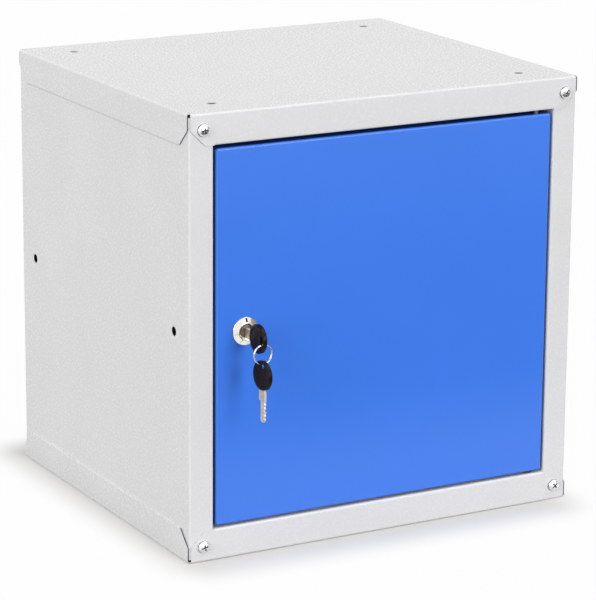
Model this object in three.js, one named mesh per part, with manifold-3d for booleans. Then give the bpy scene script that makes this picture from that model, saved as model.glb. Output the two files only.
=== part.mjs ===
// A flat-pack steel cube locker with one hinged door, a cam lock and two keys on a split ring.
// Millimetres, +X to the right as seen from the front, +Y to the back, +Z up.
// The origin is the middle of the underside of the cabinet.
import * as THREE from "three";
import { mergeVertices } from "three/addons/utils/BufferGeometryUtils.js";
import Module from "manifold-3d";

const wasm = await Module();
wasm.setup();

// Cabinet
const overallWidth = 395;
const overallDepth = 350;
const overallHeight = 400;
const sheet = 0.9; // steel sheet of every cabinet panel and of the door
const bendInnerRadius = 1.1;
const fitGap = 0.3; // play between pieces that are bolted, seated or turn in each other
const panelInset = 3.2; // from a tray's outer face to the ends of the upright panels
const railHeight = 28.6; // front, side and rear flanges of both trays
const railLipDepth = 18;
const flangeEndStraight = 14; // the part of a flange's end before its slanted corner
const cornerSetback = 0.5; // front and rear flanges end this much short of the corner
const cornerBallRadius = 1.6; // relief pressed out where three faces meet
const stileWidth = 23.8;
const stileReturnDepth = 19.5;
const doorStopWidth = 7;
const rearFlangeWidth = 24;
const stackHoleRadius = 4.25;
const stackHoleFromSide = 41;
const stackHoleFromFront = 36;
const joinHoleRadius = 4.25;
const joinHoleFromFront = 30;
const joinHoleHeight = 204;

// Screws and nuts that hold the cabinet together
const screwInset = 14.3;
const threadRadius = 3;
const screwHeadRadius = 5.7;
const screwHeadHeight = 4;
const screwHeadRim = 0.9;
const screwLength = 13;
const screwCrossLength = 6.4;
const screwCrossWidth = 1.3;
const screwCrossDepth = 2;
const nutAcrossFlats = 10;
const nutThickness = 5;

// Door and its pins
const doorGapLeft = 2.6;
const doorGapRight = 2.4;
const doorGapTop = 3.6;
const doorGapBottom = 2.2;
const doorDepth = 18;
const doorReliefRadius = 0.75; // small hole left in each drawn corner
const pivotInset = 12; // from the door's hinge edge to the pin axis
const pivotSetback = 7.5; // from the door's face to the pin axis
const pinRadius = 2.5;
const pinHeadRadius = 4.5;
const pinHeadHeight = 2;
const pinReach = 2.6; // past the rail lip
const washerRadius = 5.5;

// Cam lock
const lockInset = 28.2; // from the door's lock edge to the lock axis
const lockHeight = 204.5;
const bezelRadius = 12.5;
const bezelRim = 0.9;
const bezelHeight = 3.8;
const bezelCrestRadius = 8;
const bezelRecessRadius = 7.4;
const bezelRecessDepth = 3;
const bezelMarkWidth = 1.3;
const bezelMarkDepth = 0.6;
const barrelRadius = 8.3;
const barrelLength = 21;
const plugRadius = 5.2;
const plugProud = 0.3; // the plug's face above the floor of the bezel's recess
const lockWasherRadius = 11.6;
const lockWasherThickness = 0.8;
const lockNutAcrossFlats = 22;
const lockNutThickness = 4.5;
const camThickness = 1.8;
const camHubRadius = 8;
const camTipRadius = 6;
const camReach = 32; // from the lock axis to the centre of the rounded tip
const camTail = 7; // width of the plug's square tail
const camScrewRadius = 2;
const camScrewLength = 3.8;
const camScrewHeadRadius = 4.6;
const camScrewHeadHeight = 2.2;
const waferCount = 4;
const waferThickness = 0.8;
const waferPitch = 2.6;
const waferWidth = 5.3;
const waferHeight = 8.7;
const waferStart = 5.2; // from the plug's face to the first wafer

// Keys, measured along the key from the shoulder that stops against the plug
const bladeLength = 19.2;
const bladeWidth = 6;
const bladeThickness = 2;
const bladeTip = 1.8;
const bladeOffset = 1.2; // the blade's middle line beside the head's
const shoulderLength = 9;
const shoulderWidth = 9;
const tangLength = 9;
const tangWidth = 8;
const bittingPitch = 3.3;
const bittingWidth = 1.2;
const headLength = 26.4;
const headWidth = 26;
const headThickness = 4;
const headEdge = 0.9; // rounding of the head's rim
const headBorder = 3;
const headPanelDepth = 0.25;
const slotFromEnd = 4.3;
const slotWidth = 4.2;
const slotLength = 9;
const spareKeyTurn = THREE.MathUtils.degToRad(4.5);

// Split ring
const ringRadius = 8.7; // to the middle of the wire
const wireRadius = 0.4;
const ringPitch = 1.25;
const ringLoops = 2;
const ringPlay = 0.8; // from the slot's end arc centre down to the wire

// Counts and shares
const bendSteps = 4;
const holeSides = 20;
const roundSides = 32;
const screwSides = 16;
const loopSteps = 24;
const wireSides = 6;
const nutSides = 6;
const rimSteps = 2;
const domeShares = [
  [0.97, 0.3],
  [0.85, 0.56],
  [0.66, 0.79],
  [0.4, 0.94],
];
const bittingShares = [0.2, 0.13, 0.24, 0.16, 0.1]; // depth of each cut, of the blade's width
const bittingStartShare = 0.75; // from the tip's slant to the first cut, of the cuts' pitch
const quarterTurn = Math.PI / 2;
const cutOverrun = 2;

// Places worked out from the sizes
const halfWidth = overallWidth / 2;
const halfDepth = overallDepth / 2;
const bendOuterRadius = bendInnerRadius + sheet;
const sheetStep = sheet + fitGap; // one sheet and the play behind it
const sideFace = halfWidth - sheetStep;
const stileFace = halfDepth - sheetStep; // distance of the stiles' front from the middle
const openingHalf = sideFace - stileWidth;
const openingBottom = railHeight;
const openingTop = overallHeight - railHeight;
const screwSide = halfWidth - screwInset;

const doorLeft = doorGapLeft - openingHalf;
const doorRight = openingHalf - doorGapRight;
const doorBottom = openingBottom + doorGapBottom;
const doorTop = openingTop - doorGapTop;
const doorWidth = doorRight - doorLeft;
const doorHeight = doorTop - doorBottom;
const pivotX = doorRight - pivotInset;
const pivotY = pivotSetback - stileFace;
const lockX = doorLeft + lockInset;

const X = new THREE.Vector3(1, 0, 0);
const Y = new THREE.Vector3(0, 1, 0);
const Z = new THREE.Vector3(0, 0, 1);

// Solids

function solidOf(geometry) {
  geometry.deleteAttribute("normal");
  geometry.deleteAttribute("uv");
  const merged = mergeVertices(geometry);
  return new wasm.Manifold(
    new wasm.Mesh({
      numProp: 3,
      vertProperties: merged.attributes.position.array,
      triVerts: new Uint32Array(merged.index.array),
    }),
  );
}

function block(low, high) {
  const size = new THREE.Vector3().subVectors(high, low);
  const middle = new THREE.Vector3().addVectors(low, high).divideScalar(2);
  const geometry = new THREE.BoxGeometry(size.x, size.y, size.z);
  return solidOf(geometry.translate(middle.x, middle.y, middle.z));
}

function corner(x, y, z) {
  return new THREE.Vector3(x, y, z);
}

// A round bar between two points of one axis line.
function bar(from, to, radius, sides = holeSides) {
  const way = new THREE.Vector3().subVectors(to, from);
  const geometry = new THREE.CylinderGeometry(radius, radius, way.length(), sides);
  const turn = new THREE.Quaternion().setFromUnitVectors(Y, way.clone().normalize());
  geometry.applyQuaternion(turn);
  const middle = new THREE.Vector3().addVectors(from, to).divideScalar(2);
  return solidOf(geometry.translate(middle.x, middle.y, middle.z));
}

// A profile of [radius, height] points turned about the Y axis, closed on itself or on the axis.
function turned(profile, sides) {
  const points = profile.map(([radius, height]) => new THREE.Vector2(radius, height));
  return solidOf(new THREE.LatheGeometry(points, sides));
}

// A ring between two radii and two heights on the Y axis.
function collar(inner, outer, low, high, sides) {
  const loop = [
    [inner, low],
    [outer, low],
    [outer, high],
    [inner, high],
    [inner, low],
  ];
  return turned(loop, sides);
}

// A flat outline pushed out along X, Y or Z. Its own two axes are then YZ, XZ or XY.
function pushed(shape, axis, from, to) {
  const geometry = new THREE.ExtrudeGeometry(shape, {
    depth: Math.abs(to - from),
    bevelEnabled: false,
    curveSegments: bendSteps,
  });
  const frame = new THREE.Matrix4();
  if (axis === X) frame.makeBasis(Y, Z, X).setPosition(Math.min(from, to), 0, 0);
  if (axis === Y) frame.makeBasis(X, Z, Y.clone().negate()).setPosition(0, Math.max(from, to), 0);
  if (axis === Z) frame.makeBasis(X, Y, Z).setPosition(0, 0, Math.min(from, to));
  return solidOf(geometry.applyMatrix4(frame));
}

// The section of a folded sheet. The corners lie on its shown face and every fold is a right angle.
// With side 1 the thickness lies to the left of the way along the corners, with -1 to the right.
function foldedSection(corners, side) {
  const points = corners.map(([a, b]) => new THREE.Vector2(a, b));
  const shown = [];
  const hidden = [];
  points.forEach((point, i) => {
    const before = i > 0 ? point.clone().sub(points[i - 1]).normalize() : null;
    const after = i < points.length - 1 ? points[i + 1].clone().sub(point).normalize() : null;
    if (!before || !after) {
      const along = before || after;
      const across = new THREE.Vector2(-along.y, along.x).multiplyScalar(side * sheet);
      shown.push(point);
      hidden.push(point.clone().add(across));
      return;
    }
    const inwards = before.cross(after) * side > 0;
    const shownRadius = inwards ? bendOuterRadius : bendInnerRadius;
    const hiddenRadius = inwards ? bendInnerRadius : bendOuterRadius;
    const centre = point.clone().addScaledVector(before, -shownRadius);
    centre.addScaledVector(after, shownRadius);
    for (let k = 0; k <= bendSteps; k++) {
      const angle = (k / bendSteps) * quarterTurn;
      const ray = after.clone().multiplyScalar(-Math.cos(angle));
      ray.addScaledVector(before, Math.sin(angle));
      shown.push(centre.clone().addScaledVector(ray, shownRadius));
      hidden.push(centre.clone().addScaledVector(ray, hiddenRadius));
    }
  });
  return new THREE.Shape([...shown, ...hidden.reverse()]);
}

// A sheet with its four edges folded up, open at the corners: x and y about 0, z from 0 to depth.
function pan(width, length, depth) {
  const halfX = width / 2;
  const halfY = length / 2;
  const edges = (half) => [
    [-half, depth],
    [-half, 0],
    [half, 0],
    [half, depth],
  ];
  const endX = halfX - bendOuterRadius;
  const endY = halfY - bendOuterRadius;
  const shortX = endX - cornerSetback;
  let made = pushed(foldedSection(edges(halfY), 1), X, -shortX, shortX);
  made = made.add(pushed(foldedSection(edges(halfX), 1), Y, -endY, endY));
  for (const x of [-endX, endX]) {
    for (const y of [-endY, endY]) {
      const ball = new THREE.SphereGeometry(cornerBallRadius, holeSides, holeSides / 2);
      const place = corner(x, y, bendInnerRadius);
      made = made.subtract(solidOf(ball.translate(place.x, place.y, place.z)));
    }
  }
  return made;
}

// A hexagon nut with its bore on the Y axis, its back face at 0.
function nut(acrossFlats, thickness, bore) {
  const cornerRadius = acrossFlats / 2 / Math.cos(Math.PI / nutSides);
  const body = new THREE.CylinderGeometry(cornerRadius, cornerRadius, thickness, nutSides);
  const hole = bar(corner(0, -cutOverrun, 0), corner(0, thickness + cutOverrun, 0), bore);
  return solidOf(body.translate(0, thickness / 2, 0)).subtract(hole);
}

// A pan head screw on the Y axis: the head above 0, the shank below, with a cross recess.
function screw() {
  const dome = domeShares.map(([radiusShare, heightShare]) => [
    screwHeadRadius * radiusShare,
    screwHeadRim + (screwHeadHeight - screwHeadRim) * heightShare,
  ]);
  const profile = [
    [0, -screwLength],
    [threadRadius, -screwLength],
    [threadRadius, 0],
    [screwHeadRadius, 0],
    [screwHeadRadius, screwHeadRim],
    ...dome,
    [0, screwHeadHeight],
  ];
  let made = turned(profile, screwSides);
  const floor = screwHeadHeight - screwCrossDepth;
  for (const [armX, armZ] of [
    [screwCrossLength / 2, screwCrossWidth / 2],
    [screwCrossWidth / 2, screwCrossLength / 2],
  ]) {
    const slot = block(
      corner(-armX, floor, -armZ),
      corner(armX, screwHeadHeight + cutOverrun, armZ),
    );
    made = made.subtract(slot);
  }
  return made;
}

// Cabinet panels

// The bottom tray, open upwards. The top tray is its mirror image.
function tray() {
  let made = pan(overallWidth, overallDepth, railHeight);

  // Slanted corners at both ends of the four flanges
  const slant = (half) => {
    const end = half - bendOuterRadius;
    const outer = end + fitGap;
    const run = railHeight - flangeEndStraight;
    return new THREE.Shape([
      new THREE.Vector2(outer, flangeEndStraight - fitGap),
      new THREE.Vector2(outer, railHeight + cutOverrun),
      new THREE.Vector2(end - run - cutOverrun, railHeight + cutOverrun),
    ]);
  };
  const mirrored = (shape) => {
    return new THREE.Shape(shape.getPoints().map((p) => new THREE.Vector2(-p.x, p.y)));
  };
  for (const [half, span, axis] of [
    [halfWidth, halfDepth, Y],
    [halfDepth, halfWidth, X],
  ]) {
    const reach = span + cutOverrun;
    made = made.subtract(pushed(slant(half), axis, -reach, reach));
    made = made.subtract(pushed(mirrored(slant(half)), axis, -reach, reach));
  }

  // The front flange's top edge turns back as a lip between the stiles
  const lipHalf = openingHalf - fitGap;
  const bendStart = railHeight - bendOuterRadius;
  const trimmed = block(
    corner(-lipHalf, -halfDepth - cutOverrun, bendStart),
    corner(lipHalf, -halfDepth + sheetStep, railHeight + cutOverrun),
  );
  const lip = foldedSection(
    [
      [railLipDepth - halfDepth, railHeight],
      [-halfDepth, railHeight],
      [-halfDepth, bendStart - sheet],
    ],
    1,
  );
  made = made.subtract(trimmed).add(pushed(lip, X, -lipHalf, lipHalf));

  for (const side of [-1, 1]) {
    for (const end of [-1, 1]) {
      const x = side * (halfWidth - stackHoleFromSide);
      const y = end * (halfDepth - stackHoleFromFront);
      const hole = bar(corner(x, y, -cutOverrun), corner(x, y, cutOverrun), stackHoleRadius);
      made = made.subtract(hole);
    }
    made = made.subtract(screwHole(side * screwSide, screwInset));
  }
  const pinHole = bar(
    corner(pivotX, pivotY, railHeight - cutOverrun),
    corner(pivotX, pivotY, railHeight + cutOverrun),
    pinRadius + fitGap,
  );
  return made.subtract(pinHole);
}

// A clearance hole for the screws, through the front and the rear at once.
function screwHole(x, z) {
  const reach = halfDepth + cutOverrun;
  return bar(corner(x, -reach, z), corner(x, reach, z), threadRadius + fitGap);
}

// hand is -1 for the left panel and 1 for the right one. Only the left one has the door stop.
function sidePanel(hand) {
  const opening = hand * openingHalf;
  const outside = hand * sideFace;
  const returnEnd = stileReturnDepth - stileFace;
  const stop = [
    [hand * (openingHalf - doorStopWidth), returnEnd - sheet],
    [opening, returnEnd - sheet],
  ];
  const plainEnd = [[opening, returnEnd]];
  const section = [
    ...(hand < 0 ? stop : plainEnd),
    [opening, -stileFace],
    [outside, -stileFace],
    [outside, stileFace],
    [outside - hand * rearFlangeWidth, stileFace],
  ];
  const top = overallHeight - panelInset;
  let made = pushed(foldedSection(section, hand), Z, panelInset, top);
  for (const end of [-1, 1]) {
    const y = end * (halfDepth - joinHoleFromFront);
    const hole = bar(
      corner(outside - cutOverrun, y, joinHoleHeight),
      corner(outside + cutOverrun, y, joinHoleHeight),
      joinHoleRadius,
    );
    made = made.subtract(hole);
  }
  for (const z of [screwInset, overallHeight - screwInset]) {
    made = made.subtract(screwHole(hand * screwSide, z));
  }
  return made;
}

function backPanel() {
  const half = sideFace - sheet - bendInnerRadius - fitGap;
  const face = stileFace - sheetStep;
  let made = block(
    corner(-half, face - sheet, panelInset),
    corner(half, face, overallHeight - panelInset),
  );
  for (const side of [-1, 1]) {
    for (const z of [screwInset, overallHeight - screwInset]) {
      made = made.subtract(screwHole(side * screwSide, z));
    }
  }
  return made;
}

// Door and its pins

// A pan drawn with closed round corners: x and y about 0, z from 0 to depth.
function drawnPan(width, length, depth) {
  const centres = [];
  for (const x of [-1, 1]) {
    for (const y of [-1, 1]) {
      centres.push([x * (width / 2 - bendOuterRadius), y * (length / 2 - bendOuterRadius)]);
    }
  }
  const sides = 4 * bendSteps;
  const filled = (radius, top) => {
    const ends = centres.map(([x, y]) => {
      const ball = new THREE.SphereGeometry(radius, sides, sides / 2).rotateX(quarterTurn);
      const foot = solidOf(ball.translate(x, y, bendOuterRadius));
      return foot.add(bar(corner(x, y, bendOuterRadius), corner(x, y, top), radius, sides));
    });
    return wasm.Manifold.hull(ends);
  };
  let made = filled(bendOuterRadius, depth).subtract(filled(bendInnerRadius, depth + cutOverrun));
  for (const [x, y] of centres) {
    const way = corner(Math.sign(x), Math.sign(y), -1).normalize();
    const place = corner(x, y, bendOuterRadius).addScaledVector(way, bendInnerRadius + sheet / 2);
    const ball = new THREE.SphereGeometry(doorReliefRadius, sides, sides / 2);
    made = made.subtract(solidOf(ball.translate(place.x, place.y, place.z)));
  }
  return made;
}

// The door lies on its face here, as the pan does: its own y runs down the door.
function doorPanel() {
  let made = drawnPan(doorWidth, doorHeight, doorDepth);
  const middleX = (doorLeft + doorRight) / 2;
  const middleZ = (doorBottom + doorTop) / 2;
  const lockPlace = [lockX - middleX, middleZ - lockHeight];
  const lockHole = bar(
    corner(...lockPlace, -cutOverrun),
    corner(...lockPlace, cutOverrun),
    barrelRadius + fitGap,
    roundSides,
  );
  const reach = doorHeight / 2 + cutOverrun;
  const pinHole = bar(
    corner(pivotX - middleX, -reach, pivotSetback),
    corner(pivotX - middleX, reach, pivotSetback),
    pinRadius + fitGap,
  );
  return made.subtract(lockHole).subtract(pinHole);
}

// A headed pin on the Y axis. The head's upper face is at 0 and the shank runs up to length.
function hingePin(length) {
  const profile = [
    [0, -pinHeadHeight],
    [pinHeadRadius, -pinHeadHeight],
    [pinHeadRadius, 0],
    [pinRadius, 0],
    [pinRadius, length],
    [0, length],
  ];
  return turned(profile, holeSides);
}

// Lock pieces, in the lock's own frame: the axis is Y, 0 is the door's face, the back is positive

const plugFace = -(bezelHeight - bezelRecessDepth + plugProud);
const tailStart = barrelLength;
const tailEnd = tailStart + fitGap + camThickness + fitGap;
const keyStop = plugFace - fitGap;
const screwHoleEnd = tailEnd + fitGap - camScrewLength - fitGap;

function lockHousing() {
  const recessFloor = bezelRecessDepth - bezelHeight;
  const seat = -fitGap;
  const boreRadius = plugRadius + fitGap;
  let made = turned(
    [
      [boreRadius, recessFloor],
      [bezelRecessRadius, recessFloor],
      [bezelRecessRadius, -bezelHeight],
      [bezelCrestRadius, -bezelHeight],
      [bezelRadius, seat - bezelRim],
      [bezelRadius, seat],
      [barrelRadius, seat],
      [barrelRadius, barrelLength],
      [boreRadius, barrelLength],
      [boreRadius, recessFloor],
    ],
    roundSides,
  );

  // An index mark cut along the cone at the top
  const run = bezelRadius - bezelCrestRadius;
  const rise = bezelHeight + seat - bezelRim;
  const slope = Math.atan2(rise, run);
  const mark = new THREE.BoxGeometry(
    bezelMarkWidth,
    2 * bezelMarkDepth,
    Math.hypot(run, rise) - bezelMarkDepth,
  );
  mark.rotateX(slope);
  mark.translate(0, -(bezelHeight + bezelRim - seat) / 2, (bezelRadius + bezelCrestRadius) / 2);
  return made.subtract(solidOf(mark));
}

function keyway(width, height, from, to) {
  return block(corner(-width / 2, from, -height / 2), corner(width / 2, to, height / 2));
}

function lockPlug() {
  const barrel = [
    [0, plugFace],
    [plugRadius, plugFace],
    [plugRadius, tailStart],
    [0, tailStart],
  ];
  let made = turned(barrel, roundSides);
  made = made.add(keyway(camTail, camTail, tailStart - cutOverrun, tailEnd));
  const slotThickness = bladeThickness + 2 * fitGap;
  const slotHeight = bladeWidth + 2 * fitGap;
  const slotEnd = keyStop + bladeLength + 2 * fitGap;
  made = made.subtract(keyway(slotThickness, slotHeight, plugFace - cutOverrun, slotEnd));
  for (let i = 0; i < waferCount; i++) {
    const middle = waferPlace(i);
    const half = waferThickness / 2 + fitGap;
    const height = 2 * (plugRadius + cutOverrun);
    const slot = keyway(waferWidth + 2 * fitGap, height, middle - half, middle + half);
    made = made.subtract(slot);
  }
  const screwRadius = camScrewRadius + fitGap;
  const tapped = bar(corner(0, screwHoleEnd, 0), corner(0, tailEnd + cutOverrun, 0), screwRadius);
  return made.subtract(tapped);
}

function waferPlace(i) {
  return plugFace + waferStart + i * waferPitch;
}

// A plate across the plug with a window for the key, held between two faces of its slot.
function lockWafer(i) {
  const middle = waferPlace(i);
  const half = waferThickness / 2;
  const plate = keyway(waferWidth, waferHeight, middle - half, middle + half);
  const window = keyway(
    bladeThickness + 2 * fitGap,
    bladeWidth + 2 * fitGap,
    middle - half - cutOverrun,
    middle + half + cutOverrun,
  );
  return plate.subtract(window);
}

// The cam hangs down when the lock is open. It has round ends and straight sides between them.
function lockCam() {
  const lean = Math.asin((camHubRadius - camTipRadius) / camReach);
  const shape = new THREE.Shape();
  shape.absarc(0, 0, camHubRadius, lean, Math.PI - lean, false);
  shape.absarc(0, -camReach, camTipRadius, Math.PI - lean, 2 * Math.PI + lean, false);
  shape.closePath();
  const hub = new THREE.Shape(shape.getPoints(roundSides / 2));
  const from = barrelLength + fitGap;
  const plate = pushed(hub, Y, from, from + camThickness);
  const square = camTail + 2 * fitGap;
  return plate.subtract(keyway(square, square, from - cutOverrun, from + camThickness + cutOverrun));
}

function camScrew() {
  const seat = tailEnd + fitGap;
  const profile = [
    [0, seat - camScrewLength],
    [camScrewRadius, seat - camScrewLength],
    [camScrewRadius, seat],
    [camScrewHeadRadius, seat],
    [camScrewHeadRadius, seat + camScrewHeadHeight / 2],
    [camScrewHeadRadius * domeShares[1][0], seat + camScrewHeadHeight],
    [0, seat + camScrewHeadHeight],
  ];
  const slot = block(
    corner(-camScrewHeadRadius, seat + camScrewHeadHeight / 2, -screwCrossWidth / 2),
    corner(camScrewHeadRadius, seat + camScrewHeadHeight + cutOverrun, screwCrossWidth / 2),
  );
  return turned(profile, screwSides).subtract(slot);
}

// Keys, each in its own frame: x from the tip to the head, y across, z through the thickness

function keyOutline(points) {
  return new THREE.Shape(points.map(([x, y]) => new THREE.Vector2(x, y)));
}

function keyPlate(shape, thickness) {
  return pushed(shape, Z, -thickness / 2, thickness / 2);
}

// The blade is cut along one edge, and its tang runs on into the head.
function keyBlade() {
  const low = bladeOffset - bladeWidth / 2;
  const high = bladeOffset + bladeWidth / 2;
  const shoulder = shoulderWidth / 2;
  const tang = tangWidth / 2;
  const cuts = bittingShares.flatMap((share, i) => {
    const x = bladeTip - bladeLength + (i + bittingStartShare) * bittingPitch;
    return [
      [x - bittingWidth, high],
      [x - bittingWidth / 4, high - share * bladeWidth],
      [x + bittingWidth / 4, high - share * bladeWidth],
      [x + bittingWidth, high],
    ];
  });
  const outline = [
    [0, low],
    [0, -shoulder],
    [shoulderLength, -shoulder],
    [shoulderLength, -tang],
    [shoulderLength + tangLength, -tang],
    [shoulderLength + tangLength, tang],
    [shoulderLength, tang],
    [shoulderLength, shoulder],
    [0, shoulder],
    [0, high],
    ...cuts.reverse(),
    [bladeTip - bladeLength, high],
    [-bladeLength, high - bladeTip],
    [-bladeLength, low + bladeTip],
    [bladeTip - bladeLength, low],
  ];
  return keyPlate(keyOutline(outline), bladeThickness);
}

// The moulded head: an oval with a rounded rim, sunk panels, a ring slot and a pocket for the tang.
function keyHead() {
  const start = shoulderLength + fitGap;
  const middle = start + headLength / 2;
  const oval = new THREE.Shape();
  oval.absellipse(middle, 0, headLength / 2, headWidth / 2, 0, 2 * Math.PI, false, 0);
  const outline = new THREE.Shape(oval.getPoints(roundSides).slice(0, -1));
  const rim = new THREE.ExtrudeGeometry(outline, {
    depth: headThickness - 2 * headEdge,
    bevelThickness: headEdge,
    bevelSize: headEdge,
    bevelOffset: -headEdge,
    bevelSegments: rimSteps,
  });
  let made = solidOf(rim.translate(0, 0, headEdge - headThickness / 2));

  const panel = new THREE.Shape();
  const border = (full) => full / 2 - headBorder;
  const panelEnd = slotMiddle() - slotWidth / 2 - headBorder / 2;
  panel.absellipse(middle, 0, border(headLength), border(headWidth), 0, 2 * Math.PI, false, 0);
  const panelPoints = panel.getPoints(holeSides).slice(0, -1);
  const clipped = panelPoints.map((p) => new THREE.Vector2(Math.min(p.x, panelEnd), p.y));
  for (const face of [-1, 1]) {
    const floor = face * (headThickness / 2 - headPanelDepth);
    const open = face * (headThickness / 2 + cutOverrun);
    made = made.subtract(pushed(new THREE.Shape(clipped), Z, floor, open));
  }

  const arc = slotWidth / 2;
  const straight = slotLength / 2 - arc;
  const slot = new THREE.Shape();
  slot.absarc(slotMiddle(), straight, arc, 0, Math.PI, false);
  slot.absarc(slotMiddle(), -straight, arc, Math.PI, 2 * Math.PI, false);
  slot.closePath();
  const slotShape = new THREE.Shape(slot.getPoints(bendSteps * 2).slice(0, -1));
  made = made.subtract(keyPlate(slotShape, headThickness + 2 * cutOverrun));

  const pocket = block(
    corner(start - cutOverrun, -tangWidth / 2 - fitGap, -bladeThickness / 2 - fitGap),
    corner(
      shoulderLength + tangLength + fitGap,
      tangWidth / 2 + fitGap,
      bladeThickness / 2 + fitGap,
    ),
  );
  return made.subtract(pocket);
}

function slotMiddle() {
  return shoulderLength + fitGap + headLength - slotFromEnd;
}

// Split ring: one wire wound about the Y axis, its ends at the right-hand side.
function ringPoint(turn) {
  const angle = 2 * Math.PI * turn;
  return corner(
    ringRadius * Math.cos(angle),
    (turn - ringLoops / 2) * ringPitch,
    ringRadius * Math.sin(angle),
  );
}

function keyRing() {
  const steps = ringLoops * loopSteps;
  const points = Array.from({ length: steps + 1 }, (_, i) => ringPoint(i / loopSteps));
  const path = new THREE.CatmullRomCurve3(points);
  const section = new THREE.Shape();
  section.absarc(0, 0, wireRadius, 0, 2 * Math.PI, false);
  const round = new THREE.Shape(section.getPoints(wireSides).slice(0, -1));
  return solidOf(new THREE.ExtrudeGeometry(round, { steps, extrudePath: path }));
}

// The least distance between two stretches of the wire that are half a turn or more apart.
function ringGap() {
  const fine = ringLoops * loopSteps * bendSteps;
  const points = Array.from({ length: fine + 1 }, (_, i) => ringPoint((i / fine) * ringLoops));
  const apart = fine / ringLoops / 2;
  let least = Infinity;
  points.forEach((a, i) => {
    points.slice(i + apart).forEach((b) => {
      least = Math.min(least, a.distanceTo(b));
    });
  });
  return least - 2 * wireRadius;
}

// Finishes

const lightGreyPaint = { color: 0xdfdfe0, roughness: 0.42, metalness: 0 };
const bluePaint = { color: 0x3f78e6, roughness: 0.4, metalness: 0 };
const zinc = { color: 0xc4c8cc, roughness: 0.3, metalness: 1 };
const chrome = { color: 0xd6d6d4, roughness: 0.12, metalness: 1 };
const brass = { color: 0xb9a05c, roughness: 0.35, metalness: 1 };
const nickel = { color: 0xb7ada0, roughness: 0.3, metalness: 1 };
const blackPlastic = { color: 0x17171a, roughness: 0.45, metalness: 0 };
const blackNylon = { color: 0x1c1c1e, roughness: 0.5, metalness: 0 };

function node(name, solid, finish) {
  const made = solid.getMesh();
  const geometry = new THREE.BufferGeometry();
  geometry.setAttribute("position", new THREE.BufferAttribute(made.vertProperties, 3));
  geometry.setIndex(new THREE.BufferAttribute(made.triVerts, 1));
  geometry.computeVertexNormals();
  const material = new THREE.MeshStandardMaterial({ ...finish, flatShading: true });
  const mesh = new THREE.Mesh(geometry, material);
  mesh.name = name;
  return mesh;
}

// Turns a group so that its own x, y and z run along the three given directions.
function aim(group, x, y, z) {
  group.quaternion.setFromRotationMatrix(new THREE.Matrix4().makeBasis(x, y, z));
  return group;
}

// The object

function cabinet() {
  const group = new THREE.Group();
  const bottom = node("bottom_panel", tray(), lightGreyPaint);
  const top = node("top_panel", tray(), lightGreyPaint);
  top.scale.z = -1;
  top.position.z = overallHeight;
  group.add(bottom, top);
  group.add(node("left_side_panel", sidePanel(-1), lightGreyPaint));
  group.add(node("right_side_panel", sidePanel(1), lightGreyPaint));
  group.add(node("back_panel", backPanel(), lightGreyPaint));

  // A screw in each corner of the front and the rear, with its nut inside
  for (const [end, endName] of [
    [-1, "front"],
    [1, "rear"],
  ]) {
    for (const [z, heightName] of [
      [screwInset, "bottom"],
      [overallHeight - screwInset, "top"],
    ]) {
      for (const [side, sideName] of [
        [-1, "left"],
        [1, "right"],
      ]) {
        const place = [endName, heightName, sideName].join("_");
        const sheets = end < 0 ? 1 : 2;
        const inner = stileFace - sheets * sheetStep;
        const outside = node("screw_" + place, screw(), zinc);
        outside.position.set(side * screwSide, end * (halfDepth + fitGap), z);
        const hexagon = nut(nutAcrossFlats, nutThickness, threadRadius + fitGap);
        const inside = node("nut_" + place, hexagon, zinc);
        inside.position.set(side * screwSide, end * inner, z);
        if (end < 0) outside.rotation.z = Math.PI;
        if (end > 0) inside.rotation.z = Math.PI;
        group.add(outside, inside);
      }
    }
  }

  const washerLow = railHeight + fitGap;
  const washerHigh = doorBottom - fitGap;
  const ring = collar(pinRadius + fitGap, washerRadius, washerLow, washerHigh, holeSides);
  const washer = node("hinge_washer", ring, blackNylon);
  washer.rotation.x = quarterTurn;
  washer.position.set(pivotX, pivotY, 0);
  group.add(washer);
  return group;
}

function door() {
  const group = new THREE.Group();
  const panel = node("door_panel", doorPanel(), bluePaint);
  panel.rotation.x = -quarterTurn;
  panel.position.set((doorLeft + doorRight) / 2, -stileFace, (doorBottom + doorTop) / 2);
  group.add(panel);

  const throughDoor = fitGap + sheet;
  const throughLip = sheet + pinReach;
  const lower = hingePin(throughDoor + doorGapBottom + throughLip);
  const upper = hingePin(throughDoor + doorGapTop + throughLip);
  const lowerPin = node("lower_hinge_pin", lower, zinc);
  lowerPin.rotation.x = -quarterTurn;
  lowerPin.position.set(pivotX, pivotY, doorBottom + throughDoor);
  const upperPin = node("upper_hinge_pin", upper, zinc);
  upperPin.rotation.x = quarterTurn;
  upperPin.position.set(pivotX, pivotY, doorTop - throughDoor);
  group.add(lowerPin, upperPin);

  const lock = new THREE.Group();
  lock.position.set(lockX, -stileFace, lockHeight);
  const washerLow = sheet + fitGap;
  const nutLow = washerLow + lockWasherThickness + fitGap;
  const bore = barrelRadius + fitGap;
  const ring = collar(bore, lockWasherRadius, washerLow, nutLow - fitGap, roundSides);
  const hex = node("lock_nut", nut(lockNutAcrossFlats, lockNutThickness, bore), zinc);
  hex.position.y = nutLow;
  lock.add(node("lock_housing", lockHousing(), chrome), node("lock_washer", ring, zinc), hex);
  lock.add(node("lock_plug", lockPlug(), chrome), node("lock_cam", lockCam(), zinc));
  for (let i = 0; i < waferCount; i++) {
    lock.add(node("lock_wafer_" + (i + 1), lockWafer(i), brass));
  }
  lock.add(node("cam_screw", camScrew(), zinc), keys());
  group.add(lock);
  return group;
}

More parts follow.
